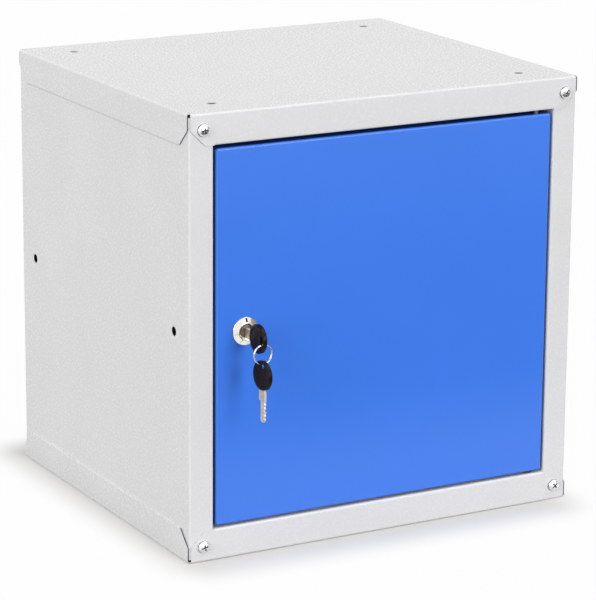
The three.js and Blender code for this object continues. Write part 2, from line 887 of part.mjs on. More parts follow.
// The key in the lock, the ring in its slot and the spare key hanging from the ring.
function keys() {
  const group = new THREE.Group();
  const toFront = Y.clone().negate();
  const inLock = aim(new THREE.Group(), toFront, Z, X.clone().negate());
  inLock.position.set(0, keyStop, -bladeOffset);
  inLock.add(node("key_blade", keyBlade(), nickel), node("key_head", keyHead(), blackPlastic));

  // The wire passes each slot twice, a quarter of its pitch off the ring's middle
  const pairShift = ringPitch / 4;
  const slotArc = slotLength / 2 - slotWidth / 2;
  const ring = node("key_ring", keyRing(), nickel);
  const wireTop = -bladeOffset - slotArc - ringPlay;
  ring.position.set(0, keyStop - slotMiddle() + pairShift, wireTop - ringRadius);

  const across = toFront.clone().applyAxisAngle(Z, spareKeyTurn);
  const spare = aim(new THREE.Group(), Z, across, new THREE.Vector3().crossVectors(Z, across));
  const wireRise = ringRadius - Math.sqrt(ringRadius ** 2 - (headThickness / 2) ** 2);
  const wireBelowWeb = wireRadius + fitGap + wireRise;
  const slotCentre = wireTop - 2 * ringRadius - (slotWidth / 2 - wireBelowWeb);
  spare.position.set(0, ring.position.y + pairShift, slotCentre - slotMiddle());
  spare.add(node("spare_key_blade", keyBlade(), nickel));
  spare.add(node("spare_key_head", keyHead(), blackPlastic));
  group.add(inLock, ring, spare);
  return group;
}

console.log("key ring, least gap between its loops: " + ringGap().toFixed(2) + " mm");

const locker = new THREE.Group();
locker.add(cabinet(), door());

export default locker;
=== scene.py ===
"""Dresses a flat-pack steel cube locker: coated panels, screws, cam lock, keys and split ring.

Metres, +X to the right as seen from the front, +Y to the back, +Z up.
"""

import math

import bmesh
import bpy
import numpy as np
from mathutils import Matrix, Vector


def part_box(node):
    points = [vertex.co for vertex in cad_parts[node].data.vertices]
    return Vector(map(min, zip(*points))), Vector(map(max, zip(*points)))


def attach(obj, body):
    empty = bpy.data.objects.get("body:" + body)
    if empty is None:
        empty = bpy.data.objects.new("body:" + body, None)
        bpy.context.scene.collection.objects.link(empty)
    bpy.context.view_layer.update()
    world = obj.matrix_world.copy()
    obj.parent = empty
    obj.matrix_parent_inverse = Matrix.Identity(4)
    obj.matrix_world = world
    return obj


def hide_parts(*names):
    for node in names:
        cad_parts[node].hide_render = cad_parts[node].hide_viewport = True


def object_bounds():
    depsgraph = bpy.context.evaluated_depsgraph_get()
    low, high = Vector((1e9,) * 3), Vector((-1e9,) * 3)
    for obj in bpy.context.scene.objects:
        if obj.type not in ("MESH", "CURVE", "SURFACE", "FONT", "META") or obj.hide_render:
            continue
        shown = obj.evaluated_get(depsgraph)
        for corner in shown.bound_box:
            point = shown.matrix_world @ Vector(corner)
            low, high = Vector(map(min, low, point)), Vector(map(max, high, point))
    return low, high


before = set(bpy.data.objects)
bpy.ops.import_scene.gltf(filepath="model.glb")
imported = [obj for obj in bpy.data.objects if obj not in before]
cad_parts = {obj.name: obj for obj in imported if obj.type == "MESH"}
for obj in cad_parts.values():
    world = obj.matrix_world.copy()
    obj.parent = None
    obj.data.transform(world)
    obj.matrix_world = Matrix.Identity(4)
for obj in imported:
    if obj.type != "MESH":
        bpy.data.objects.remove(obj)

bl_info = {
    "name": "Cube Locker",
    "version": (1, 0, 0),
    "blender": (4, 5, 0),
    "location": "View3D > Sidebar > Locker",
    "description": "Makes a steel cube locker with a cam lock and keys",
    "category": "Add Mesh",
}

CAD_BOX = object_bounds()
MM = 0.001
TURN = 2 * math.pi
PLACES = {
    f"{end}_{height}_{side}": sign
    for end, sign in (("front", -1), ("rear", 1))
    for height in ("bottom", "top")
    for side in ("left", "right")
}

SHARP = 35  # degrees between two faces, from which their edge stays sharp
SAME = 0.001 * MM  # corners closer than this are one
NEVER_ZERO = 1e-9  # keeps a quotient finite
EASE_STEPS = 4  # points on each rounded corner of an outline
THREAD_STEPS = 6  # rows in each turn of a thread
CROWN_POWER = 2.2  # of a screw head's curve, where 2 would be an ellipse
LOCK_SEAT = 0.3 * MM  # play between the door's face and the lock's cone
# Painted shade: below this depth the screw's recess takes a dark grey
RECESS_EDGE = 0.2 * MM  # depth under the crown from which a screw's recess is dark
KEY_CUTS = (0.2, 0.13, 0.24, 0.16, 0.1)  # depth of each cut, as a share of the blade's width

# Where the blade's milled grooves begin and end, in mm above the section's middle
RIGHT_GROOVE = (1.6, 1.35, 0.1, -0.15)
LEFT_GROOVE = (-0.75, -0.5, 0.7, 0.95)

# Painted lines where the trays' side flanges lie on the walls, a shadow under the upper one
# and a highlight along the lower one's top edge: height, half its width, factor on the coat
PAINTED_SEAM_LINES = ((370.45 * MM, 0.95 * MM, 0.78), (28.5 * MM, 0.3 * MM, 1.3))

# Each lamp: its setting, the way to it from the object, and its width in degrees
LAMPS = {
    "Key lamp": ("key_light", (0.3, -1, 0.3), 30),
    "High lamp": ("high_light", (0.47, -0.26, 0.84), 18),
    "Side lamp": ("side_light", (-1, -0.15, 0.3), 60),
    "Fill lamp": ("fill_light", (-1.6, -1, 0.7), 40),
    "Top lamp": ("top_light", (0, -0.1, 1), 90),
    "Back lamp": ("back_light", (0, 1, 0.02), 30),
}

# Each flag, a glowing card that only gloss shows as a painted reflection: its tone, the two
# ends of its foot, and the way from its foot to its head
FLAGS = {
    "floor_flag": ("#4A4038", (-0.3, -1.6, 0.002), (1.2, -1.6, 0.002), (0, 1.15, 0)),
    "left_flag": ("#857A76", (-0.56, -0.95, 0.002), (-0.44, -1.0, 0.002), (0.19, 0.42, 0)),
    "right_flag": ("#A39992", (1.0, -0.9, 0.1), (1.4, -0.35, 0.1), (0, 0, 0.8)),
}

# The floor's middle, darkened as painted shadow: its shift, half its width and depth, and the
# lengths over which the glow grows sideways and forward, from a start just inside its edge
GLOW_SHIFT = (0.008, 0, 0)
GLOW_FOOT = (CAD_BOX[1][0] - 0.024, 0.175, 0)
GLOW_SPANS = (1 / 0.065, 1 / 0.074, 0)
GLOW_START = -0.116
WHITE = (1, 1, 1, 1)


# Sizes and colours


def linear(text):
    """Turns an sRGB hex colour into linear red, green and blue."""
    srgb = np.array([int(text[i : i + 2], 16) for i in (1, 3, 5)]) / 255
    curve = ((srgb + 0.055) / 1.055) ** 2.4
    return tuple(float(v) for v in np.where(srgb <= 0.04045, srgb / 12.92, curve))


def changeable(kind, table, default, **settings):
    """Properties named for their keys, each with what it is and its default."""
    return {
        key: kind(
            name=key.replace("_", " ").capitalize(),
            description=text,
            default=default(value),
            **settings,
        )
        for key, (text, value) in table.items()
    }


def sizes(**table):
    """Lengths that a user may change, their defaults given in mm."""
    like = {"precision": 5, "subtype": "DISTANCE", "unit": "LENGTH"}
    return changeable(bpy.props.FloatProperty, table, lambda mm: mm * MM, **like)


def angles(**table):
    """Angles that a user may change, their defaults given in degrees."""
    like = {"subtype": "ANGLE", "unit": "ROTATION"}
    return changeable(bpy.props.FloatProperty, table, math.radians, **like)


def colours(**table):
    """Colours that a user may change, their defaults given in sRGB."""
    like = {"size": 3, "min": 0, "max": 1, "subtype": "COLOR"}
    return changeable(bpy.props.FloatVectorProperty, table, linear, **like)


def amounts(low, high, **table):
    """Plain numbers that a user may change, between two limits."""
    return changeable(bpy.props.FloatProperty, table, float, min=low, max=high)


class LockerColours(bpy.types.PropertyGroup):
    """Colours of the finishes"""

    __annotations__ = colours(
        cabinet=("Powder coat of the cabinet panels", "#DEDEDF"),
        edge=("Cut ends of the trays' flanges", "#4E4F53"),
        door=("Powder coat of the door", "#3D7BEA"),
        zinc=("Plating of screws, nuts and cam", "#EFF0F1"),
        # Painted shade: the dark grey of the screws' cross recesses
        recess=("Cross recess of the screws", "#5A5B5E"),
        # Painted shade: the pins' dark tone stands for the shade in the door's gaps where they
        # sit
        steel=("Bare steel of the hinge pins", "#6E7072"),
        chrome=("Plating of the lock's face", "#F1EEE8"),
        # Painted shade: the plug's dark tone stands for the shade at the foot of the lock's sunk
        # middle
        plug=("Nickelled plug of the lock", "#8B8178"),
        nickel=("Plating of the key blades", "#D6CBBA"),
        ring=("Plating of the split ring", "#DADCDF"),
        plastic=("Moulded heads of the keys", "#1A130E"),
        brass=("Stamped wafers of the lock", "#C0A25E"),
        nylon=("Washer under the door", "#1C1C1E"),
        ink=("Filling of the lock's index mark", "#0A0A0B"),
    )


class LockerScrew(bpy.types.PropertyGroup):
    """Sizes of the pan head screws and their nuts"""

    __annotations__ = sizes(
        head_radius=("Radius of the head", 5.7),
        head_height=("From the seat to the crown", 3.93),
        head_rim=("Straight part at the head's edge", 0.9),
        length=("Length of the shank", 13),
        thread_radius=("Outer radius of the thread", 3),
        thread_pitch=("Distance from crest to crest", 1),
        thread_depth=("Depth of the thread", 0.5),
        cross_length=("Length of each arm of the recess", 6.4),
        cross_width=("Width of each arm of the recess", 1.3),
        cross_depth=("Depth of the recess", 2),
        nut_bore=("Radius of the nut's bore", 3.3),
        nut_width=("Width across the nut's flats", 10),
    )


class LockerLock(bpy.types.PropertyGroup):
    """Sizes of the cam lock's housing"""

    __annotations__ = sizes(
        bezel_radius=("Outer radius of the cone", 12.5),
        bezel_height=("From the door to the cone's crest", 3.8),
        bezel_rim=("Straight part at the cone's edge", 0.9),
        crest_radius=("Where the cone ends in a flat ring", 8),
        recess_radius=("Radius of the sunk middle", 7.4),
        recess_depth=("Depth of the sunk middle", 3),
        bore=("Radius of the bore for the plug", 5.5),
        barrel_radius=("Radius over the thread", 8.3),
        thread_pitch=("Distance from crest to crest", 1.5),
        thread_depth=("Depth of the thread", 0.55),
        mark_width=("Width of the index mark", 1.7),
        mark_depth=("Depth of the index mark", 0.45),
        nut_width=("Width across the lock nut's flats", 22),
        nut_bore=("Radius of the lock nut's bore", 8.6),
    )


class LockerKey(bpy.types.PropertyGroup):
    """Sizes of a key, measured from its shoulder"""

    __annotations__ = sizes(
        blade_length=("From the shoulder to the tip", 19.2),
        blade_width=("Across the blade", 6),
        blade_thickness=("Thickness of the sheet", 2),
        blade_tip=("Length of the slants at the tip", 1.8),
        blade_offset=("Middle of the blade beside the head's", 1.2),
        cut_pitch=("Distance from one cut to the next", 3.3),
        cut_width=("Half width of a cut at the edge", 1.2),
        shoulder_length=("Length of the shoulder", 9),
        shoulder_width=("Width of the shoulder", 9),
        tang_length=("Length inside the head", 9),
        tang_width=("Width inside the head", 8),
        head_gap=("Gap from the shoulder to the head", 0.3),
        head_length=("Length of the oval", 26.4),
        head_width=("Width of the oval", 26),
        head_thickness=("Thickness of the head", 4),
        head_edge=("Rounding of the head's rim", 0.9),
        border=("Width of the raised border", 3),
        panel_depth=("Depth of the sunk panel", 0.35),
        slot_from_end=("From the head's end to the slot's middle", 4.3),
        slot_width=("Width of the slot for the ring", 4.2),
        slot_length=("Length of the slot for the ring", 9),
    ) | angles(spare_turn=("Turn of the hanging key about the upright axis", 4.5))


class LockerRing(bpy.types.PropertyGroup):
    """Sizes of the split ring"""

    __annotations__ = sizes(
        radius=("To the middle of the wire", 8.7),
        wire=("Radius of the wire", 0.4),
        pitch=("Advance of the wire in one loop", 1.25),
    ) | amounts(1, 5, loops=("How often the wire goes round", 2))


class LockerStudio(bpy.types.PropertyGroup):
    """Light, floor and camera"""

    __annotations__ = amounts(
        0,
        100,
        sky=("Light from all round on matt surfaces", 0.154),
        key_light=("Lamp at the right front", 1.74),
        high_light=("Narrow lamp above the right", 0.38),
        side_light=("Wide lamp from the left", 2.0),
        fill_light=("Lamp at the left front", 0.37),
        top_light=("Wide lamp from above", 0.77),
        back_light=("Low lamp behind the object", 1.2),
    ) | amounts(
        0,
        1,
        foot_glow=("Part of the near floor that no shadow dims", 0.0),
        far_glow=("Part of the far floor that no shadow dims", 0.97),
    ) | colours(
        near_tone=("Matt floor at the foot, as the camera sees it", "#DBD9D5"),
        floor_tone=("Matt floor as the object sees it", "#A4A4A4"),
    ) | sizes(lens=("Focal length of the camera", 179.69))


GROUPS = {
    "locker_colours": LockerColours,
    "locker_screw": LockerScrew,
    "locker_lock": LockerLock,
    "locker_key": LockerKey,
    "locker_ring": LockerRing,
    "locker_studio": LockerStudio,
}


# Finishes


def fill(node, inputs):
    """Fills a node's inputs with values or links."""
    for key, value in inputs.items():
        if isinstance(value, bpy.types.NodeSocket):
            node.id_data.links.new(value, node.inputs[key])
        else:
            node.inputs[key].default_value = value


def add(near, kind, inputs=None, **settings):
    """Adds a node with settings and inputs to a shader tree, or to a socket's tree."""
    node = near.id_data.nodes.new("ShaderNode" + kind)
    for key, value in settings.items():
        setattr(node, key, value)
    fill(node, inputs or {})
    return node


def new_material(name):
    """A new material, its node tree, and the outputs that give a point's place on the piece."""
    material = bpy.data.materials.new(name)
    material.use_nodes = True
    tree = material.node_tree
    return material, tree, add(tree, "TexCoord").outputs


def grain(place, mm, detail=2, stretch=None, by="Object"):
    """Noise whose lumps are as large as the given length in mm."""
    where = place[by]
    if stretch:
        where = add(where, "Mapping", {"Vector": where, "Scale": stretch}).outputs[0]
    inputs = {"Vector": where, "Scale": 1 / (mm * MM), "Detail": detail}
    return add(where, "TexNoise", inputs).outputs["Fac"]


def maths(operation, *values):
    """A step of arithmetic, whose first value is a socket."""
    return add(values[0], "Math", dict(enumerate(values)), operation=operation).outputs[0]


def mapped(value, low, high, to_low, to_high, **settings):
    """Maps a range of values to another, and stops at its ends."""
    inputs = dict(enumerate((value, low, high, to_low, to_high)))
    return add(value, "MapRange", inputs, **settings).outputs[0]


def mixed(share, first, second):
    """Goes from one shader to another as the share rises from 0 to 1."""
    return add(first, "MixShader", {0: share, 1: first, 2: second}).outputs[0]


def spread(value, low, high):
    """Maps noise, which keeps to 0.3 to 0.7, to a range of values."""
    return mapped(value, 0.3, 0.7, low, high)


def shades(value, tone, darker, lighter):
    """Goes from a darker to a lighter shade of one tone as the noise rises."""
    dark = [min(1, c * darker) for c in tone] + [1]
    light = [min(1, c * lighter) for c in tone] + [1]
    # A colour Mix node has its share in input 0, its colours in 6 and 7, and output 2
    inputs = {0: spread(value, 0, 1), 6: dark, 7: light}
    return add(value, "Mix", inputs, data_type="RGBA").outputs[2]


def relief(height, micrometres, under=None):
    """Tilts the surface as a height map of that depth does."""
    inputs = {"Height": height, "Strength": 1, "Distance": micrometres * MM * MM}
    if under:
        inputs["Normal"] = under
    return add(height, "Bump", inputs).outputs["Normal"]


def band(value, middle_of, half, soft):
    """1 where a value is within a distance of the middle, falling to 0 over a soft edge."""
    away = maths("ABSOLUTE", maths("SUBTRACT", value, middle_of))
    return mapped(away, half - soft, half + soft, 1, 0)


def tinted(colour_of, mask, factor):
    """A colour, multiplied by the factor where the mask is 1."""
    inputs = {0: colour_of, "Scale": mapped(mask, 0, 1, 1, factor)}
    return add(mask, "VectorMath", inputs, operation="SCALE").outputs[0]


def looks(tone, shade, rough, bumps=None, **fixed):
    """Inputs of the surface shader: patterns, and values that are the same all over.

    Shade is a pattern with its darker and lighter factor, rough one with its lowest and
    highest roughness, and bumps one with its depth in micrometres.
    """
    inputs = {key.replace("_", " "): value for key, value in fixed.items()}
    inputs["Base Color"] = shades(shade[0], tone, *shade[1:])
    inputs["Roughness"] = spread(*rough)
    if bumps:
        inputs["Normal"] = relief(*bumps)
    return inputs


def powder_coat(place, tone, gloss):
    """Polyester powder, sprayed and baked on steel sheet.

    It gives an even colour, a satin shine and a fine orange peel of lumps 2 mm across.
    Thin sheet is never dead flat, so reflections also sway over some 90 mm.
    """
    cloud = grain(place, mm=70, detail=3)
    peel = grain(place, mm=2, detail=1)
    sway = grain(place, mm=90, detail=0)
    return looks(
        tone, (cloud, 0.985, 1.015), (peel, gloss - 0.01, gloss + 0.01),
        (peel, 0.4, relief(sway, 60)), IOR=1.5
    )


def cabinet_coat(place, tone):
    """Powder coat on the cabinet, uneven where the trays' side flanges lie on the walls.

    Under the upper flange a fine dark line is painted shadow. Along the lower one's top
    edge a fine light line is a painted highlight.
    """
    sockets = powder_coat(place, tone, 0.27)
    across = add(place["Object"], "SeparateXYZ", {0: place["Object"]}).outputs
    edge, inward, reach = 0.1 * MM, 2 * MM, 158 * MM
    outside = band(maths("ABSOLUTE", across["X"]), CAD_BOX[1][0], inward, edge)
    outside = maths("MULTIPLY", outside, band(across["Y"], 0, reach, inward))
    # Painted shadow and highlight: the coat's colour is scaled in a fine line beside each flange
    for height, half, factor in PAINTED_SEAM_LINES:
        here = maths("MULTIPLY", outside, band(across["Z"], height, half, edge))
        sockets["Base Color"] = tinted(sockets["Base Color"], here, factor)
    return sockets


def door_coat(place, tone):
    """Powder coat on the door, a little glossier than the cabinet's.

    Behind the door's fold its colour is darkened: painted shade on its sides in the gaps.
    """
    sockets = powder_coat(place, tone, 0.25)
    across = add(place["Object"], "SeparateXYZ", {0: place["Object"]}).outputs
    fold, half, edge, factor = 2.6 * MM, 9 * MM, 0.3 * MM, 0.3
    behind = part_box("door_panel")[0].y + fold + half
    # Painted shade: the colour falls to 0.3 of itself on the sides behind the fold
    gap_shade = band(across["Y"], behind, half, edge)
    sockets["Base Color"] = tinted(sockets["Base Color"], gap_shade, factor)
    return sockets


def zinc_plate(place, tone):
    """Steel with a thin electroplated zinc layer, clear passivated.

    It gives a bright grey metal with faint cloudy patches and fine handling marks.
    """
    cloud = grain(place, mm=3, detail=3)
    fine = grain(place, mm=0.35)
    return looks(tone, (cloud, 0.9, 1.06), (cloud, 0.2, 0.33), (fine, 3), Metallic=1)


def dark_ends_and_shade(place, tone):
    """Steel cut in a press, dark grey on the trays' flange ends; the same dark grey is painted
    shade in the screws' cross recesses.

    It gives a dull dark grey with upright tear marks 0.4 mm apart.
    """
    tears = grain(place, mm=0.4, stretch=(1, 1, 0.4))
    return looks(
        tone, (tears, 0.75, 1.25), (tears, 0.5, 0.7),
        (tears, 12), IOR=1.5, Specular_IOR_Level=0.3
    )


def turned_steel(place, tone):
    """Steel or brass turned on a lathe, with no polish.

    It gives a dull grey metal with marks 0.25 mm apart and dark handling stains.
    """
    marks = grain(place, mm=0.25)
    stain = grain(place, mm=2.5, detail=3)
    return looks(tone, (stain, 0.7, 1.2), (stain, 0.34, 0.5), (marks, 6), Metallic=1)


def chrome_plate(place, tone):
    """Metal, polished and then plated with chrome or bright nickel.

    It gives a mirror with a faint tint, a little uneven where the metal was polished.
    """
    cloud = grain(place, mm=4)
    return looks(tone, (cloud, 0.96, 1.02), (cloud, 0.08, 0.16), (cloud, 12), Metallic=1)


def milled_metal(place, tone):
    """Nickel-plated brass, stamped and then milled along its length.

    It gives a warm grey with fine lines, 0.15 mm apart, that follow the piece's own length.
    """
    lines = grain(place, mm=1, stretch=(6.5, 0.35, 1), by="UV")
    cloud = grain(place, mm=3)
    return looks(tone, (cloud, 0.88, 1.08), (lines, 0.42, 0.6), (lines, 8), Metallic=1)


def moulded_plastic(place, tone):
    """Black ABS, injection moulded over the key's tang.

    It gives a near-black with a soft shine and the fine texture of a spark-eroded mould.
    """
    cloud = grain(place, mm=6, detail=3)
    fine = grain(place, mm=0.28)
    return looks(
        tone, (cloud, 0.8, 1.3), (cloud, 0.22, 0.32),
        (fine, 7), IOR=1.54, Specular_IOR_Level=0.08
    )


def stamped_brass(place, tone):
    """Brass strip, blanked in a press.

    It gives a yellow metal with the rolling marks of the strip.
    """
    lines = grain(place, mm=0.3, stretch=(1, 1, 0.15))
    return looks(tone, (lines, 0.85, 1.1), (lines, 0.3, 0.45), (lines, 5), Metallic=1)


def moulded_nylon(place, tone):
    """Nylon, dyed black and injection moulded.

    It gives a waxy black with a dull shine.
    """
    cloud = grain(place, mm=2)
    return looks(tone, (cloud, 0.96, 1.03), (cloud, 0.42, 0.55), IOR=1.53)


def mark_filling(place, tone):
    """Black enamel wiped into the cut mark.

    It gives a matt black line with a grainy surface.
    """
    fine = grain(place, mm=0.3)
    return looks(tone, (fine, 0.7, 1.4), (fine, 0.5, 0.7), IOR=1.5, Specular_IOR_Level=0.1)


# Each finish: the material's name, the function that makes it, and the row's slot
FINISHES = {
    "cabinet": ("Light grey powder coat", cabinet_coat, "cabinet_paint"),
    "edge": ("Phosphated sheared steel", dark_ends_and_shade, "cabinet_paint"),
    "door": ("Blue powder coat", door_coat, "door_paint"),
    "zinc": ("Zinc-plated steel", zinc_plate, "zinc"),
    "recess": ("Punched recess", dark_ends_and_shade, "zinc"),
    "steel": ("Turned bare steel", turned_steel, "zinc"),
    "chrome": ("Polished chrome", chrome_plate, "chrome"),
    "plug": ("Worn nickelled plug", turned_steel, "chrome"),
    "nickel": ("Milled nickel-plated brass", milled_metal, "nickel"),
    "ring": ("Nickel-plated spring steel", chrome_plate, "nickel"),
    "plastic": ("Moulded black ABS", moulded_plastic, "key_plastic"),
    "brass": ("Stamped brass", stamped_brass, "brass"),
    "nylon": ("Moulded black nylon", moulded_nylon, "nylon"),
    "ink": ("Black enamel filling", mark_filling, "chrome"),
}


def finish(key):
    """The material of a finish, made when it is first asked for."""
    name, make, _ = FINISHES[key]
    material = bpy.data.materials.get(name)
    if not material:
        material, tree, place = new_material(name)
        tone = getattr(bpy.context.scene.locker_colours, key)
        fill(tree.nodes["Principled BSDF"], make(place, tone))
    return material


# Meshes


def middle(node):
    """The middle of a CAD node's box."""
    low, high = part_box(node)
    return np.array(low + high) / 2


def running(points, axis):
    """Running length along one direction of a grid, averaged over the other."""
    steps = np.linalg.norm(np.diff(points, axis=axis), axis=-1).mean(axis=1 - axis)
    return np.concatenate([[0], np.cumsum(steps)])


def shade(mesh, degrees):
    """Smooth shading with a sharp edge wherever two faces meet at more than the angle."""
    mesh.shade_smooth()
    mesh.set_sharp_from_angle(angle=math.radians(degrees))


def tidy(mesh, flat=None):
    """Merges corners that coincide, joins coplanar faces if asked, and turns faces outwards."""
    work = bmesh.new()
    work.from_mesh(mesh)
    bmesh.ops.remove_doubles(work, verts=work.verts, dist=SAME)
    bmesh.ops.dissolve_degenerate(work, edges=work.edges, dist=SAME / 2)
    if flat:
        bmesh.ops.dissolve_limit(
            work, verts=work.verts, edges=work.edges, angle_limit=math.radians(flat)
        )
    bmesh.ops.recalc_face_normals(work, faces=work.faces)
    work.to_mesh(mesh)
    work.free()


def linked(name, data):
    """A new object in the scene."""
    made = bpy.data.objects.new(name, data)
    bpy.context.scene.collection.objects.link(made)
    return made


def shown(mesh, key, body, *nodes):
    """Puts a mesh in the scene with its finish. It rides on a body and stands for CAD nodes."""
    piece = linked(mesh.name, mesh)
    mesh.materials.append(finish(key))
    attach(piece, body)
    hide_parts(*nodes)
    return piece


def woven(name, rows, closed=False, degrees=SHARP):
    """A mesh from a grid of points: each row is a closed loop, and rows are joined in order.

    Rows that shrink to one point close the shape, or the last row joins the first.
    The UV map holds running lengths in metres: U round the loop, V from row to row.
    """
    grid = np.concatenate([rows, rows[:, :1]], axis=1)
    if closed:
        grid = np.concatenate([grid, grid[:1]])
    count, width = grid.shape[:2]
    first = np.arange(count * width).reshape(count, width)[:-1, :-1].reshape(-1, 1)
    ring = first + np.array([0, 1, width + 1, width])
    mesh = bpy.data.meshes.new(name)
    mesh.from_pydata(grid.reshape(-1, 3).tolist(), [], ring.tolist())
    u, v = np.meshgrid(running(grid, 1), running(grid, 0))
    lengths = np.stack([u.ravel(), v.ravel()], axis=1)[ring.ravel()]
    mesh.uv_layers.new(name="Lengths").data.foreach_set("uv", lengths.ravel())
    tidy(mesh)
    shade(mesh, degrees)
    return mesh


def polar(radius, angle, along):
    """Points at a radius, an angle from local X and a distance along local Z."""
    radius, angle, along = np.broadcast_arrays(radius, angle, along)
    return np.stack([radius * np.cos(angle), radius * np.sin(angle), along], axis=-1)


def placed(points, origin, x, y, z):
    """Points of a piece's own frame, moved to its place: origin + x, y and z steps."""
    return np.asarray(origin) + points @ np.array([x, y, z], float)


def eased(outline, reach):
    """An outline whose corners are rounded, as quadratic curves between two points near each.

    A corner is eased by its reach, and by no more than 0.45 of the shorter side beside it.
    """
    outline = np.array(outline, float)
    sides = np.stack([np.roll(outline, step, axis=0) - outline for step in (1, -1)])
    lengths = np.linalg.norm(sides, axis=-1)[..., None]
    cut = np.minimum(reach, 0.45 * lengths.min(axis=0))
    enter, leave = outline + sides / lengths * cut
    t = np.linspace(0, 1, EASE_STEPS)[None, :, None]
    on_corner = 2 * t * (1 - t) * outline[:, None]
    curve = (1 - t) ** 2 * enter[:, None] + on_corner + t**2 * leave[:, None]
    return curve.reshape(-1, 2)


def thread(along, angle, pitch):
    """How far the thread's flank is below its crest, 0 to 1: a triangle wave along a helix."""
    phase = (along / pitch - angle / TURN) % 1
    return np.abs(2 * phase - 1)


def dressed(node, name, key, body, mm):
    """Shows a copy of a CAD node with a finish and edges rounded by that many mm.

    The corners of its triangles are merged first, and the triangles of one plane are joined.
    """
    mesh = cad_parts[node].data.copy()
    mesh.name = name
    mesh.materials.clear()
    tidy(mesh, flat=0.5)
    shade(mesh, SHARP)
    piece = shown(mesh, key, body, node)
    bevel = piece.modifiers.new("Rounded edges", "BEVEL")
    bevel.width = mm * MM
    bevel.segments = 3
    bevel.limit_method = "ANGLE"
    bevel.angle_limit = math.radians(40)
    bevel.harden_normals = True
    weighted = piece.modifiers.new("Flat faces", "WEIGHTED_NORMAL")
    weighted.keep_sharp = True
    weighted.weight = 60
    return piece


def of_faces(mesh, what):
    """A vector of each face: its center or its normal."""
    values = np.zeros(3 * len(mesh.polygons))
    mesh.polygons.foreach_get(what, values)
    return values.reshape(-1, 3)


def refinish(mesh, key, chosen):
    """Gives the chosen faces another finish."""
    mesh.materials.append(finish(key))
    mesh.polygons.foreach_set("material_index", chosen.astype(np.int32))


# Shapes


def box_reach(angle, width, height):
    """How far a ray from the middle of a rectangle runs inside it."""
    across = width / 2 / np.maximum(np.abs(np.cos(angle)), NEVER_ZERO)
    up = height / 2 / np.maximum(np.abs(np.sin(angle)), NEVER_ZERO)
    return np.minimum(across, up)


def cross_reach(angle, length, width):
    """How far a ray from the middle of a cross runs inside it: the longer of two bars."""
    return np.maximum(box_reach(angle, length, width), box_reach(angle, width, length))


def crown(s, radius):
    """A screw head's height at a radius: rim + rise * (1 - (r / R) ** 2.2) ** (1 / 2.2)."""
    share = np.clip(1 - (radius / s.head_radius) ** CROWN_POWER, 0, 1)
    return s.head_rim + (s.head_height - s.head_rim) * share ** (1 / CROWN_POWER)


def screw_rows(s, turn):
    """A pan head screw about local Z, the seat at 0 and the crown at the head's height.

    The grid starts at the recess: pole, sunk cross, upper cross, then rows on the crown that
    go over evenly into circles. The shank's radius is the thread's outer radius less the wave
    of its helix, and shrinks over the last turn.
    """
    near, beside, right = math.atan2(s.cross_width, s.cross_length), 0.04, TURN / 4
    corners = [0, near / 2, near, near + beside, right / 2]
    corners += [right - near - beside, right - near, right - near / 2]
    quarter = np.unique(np.round([*corners, *np.linspace(near, right - near, 10)], 6))
    angle = np.concatenate([quarter + k * right for k in range(4)])

    mouth = cross_reach(angle, s.cross_length, s.cross_width)
    lip, point = 0.12 * MM, 0.5 * MM
    floor = cross_reach(angle, 0.5 * s.cross_length, 0.75 * s.cross_width)
    depth = s.head_height - s.cross_depth
    rows = [
        polar(0, angle, depth),
        polar(floor, angle, depth + lip),
        polar(mouth, angle, crown(s, mouth) - lip),
        polar(mouth + 0.4 * lip, angle, crown(s, mouth) - 0.3 * lip),
    ]
    share = np.linspace(0, 1, 15)[:, None] ** 0.8
    radius = (1 - share) * (mouth + lip) + share * s.head_radius
    rows += list(polar(radius, angle, crown(s, radius)))
    edge = eased([(s.head_radius, s.head_rim), (s.head_radius, 0), (s.thread_radius, 0)], lip)
    rows += [polar(r, angle, a) for r, a in edge[EASE_STEPS : 2 * EASE_STEPS]]
    drop = -np.linspace(0, s.length, int(s.length / s.thread_pitch * THREAD_STEPS))[:, None]
    taper = np.clip((s.length + drop) / s.thread_pitch, 0, 1)
    wave = s.thread_depth * thread(drop, angle, s.thread_pitch)
    rows += list(polar(s.thread_radius - wave - point * (1 - taper), angle, drop))
    rows.append(polar(0, angle, -s.length))
    cos, sin = math.cos(turn), math.sin(turn)
    return np.array(rows) @ np.array([[cos, sin, 0], [-sin, cos, 0], [0, 0, 1]])


def nut_rows(flats, thickness, bore):
    """A hexagon nut about local Z from 0 to its thickness, flats facing local X.

    The outline's radius is half the width across flats over the cosine of the angle from the
    nearest flat. Both faces are turned off by a cone of 25 degrees outside the inner circle.
    """
    angle = np.linspace(0, TURN, 96, endpoint=False)
    sixth = TURN / 6
    away = (angle + sixth / 2) % sixth - sixth / 2
    outline = flats / 2 / np.cos(away)
    face, chamfer, lean = 0.94 * flats / 2, 0.05 * flats, math.radians(25)
    turned = (outline - face) * math.tan(lean)
    ends = [(bore, chamfer), (bore + chamfer, 0), (face, 0)]
    rows = [polar(r, angle, a) for r, a in ends]
    rows += [polar(outline, angle, turned), polar(outline, angle, thickness - turned)]
    rows += [polar(r, angle, thickness - a) for r, a in reversed(ends)]
    return np.array(rows)


def hex_nut(name, node, s, body):
    """Shows a nut in the place of a CAD node, its axis along Y."""
    low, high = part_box(node)
    origin = middle(node)
    origin[1] = low.y
    rows = nut_rows(s.nut_width, high.y - low.y, s.nut_bore)
    rows = placed(rows, origin, (1, 0, 0), (0, 0, -1), (0, 1, 0))
    shown(woven(name, rows, closed=True, degrees=22), "zinc", body, node)


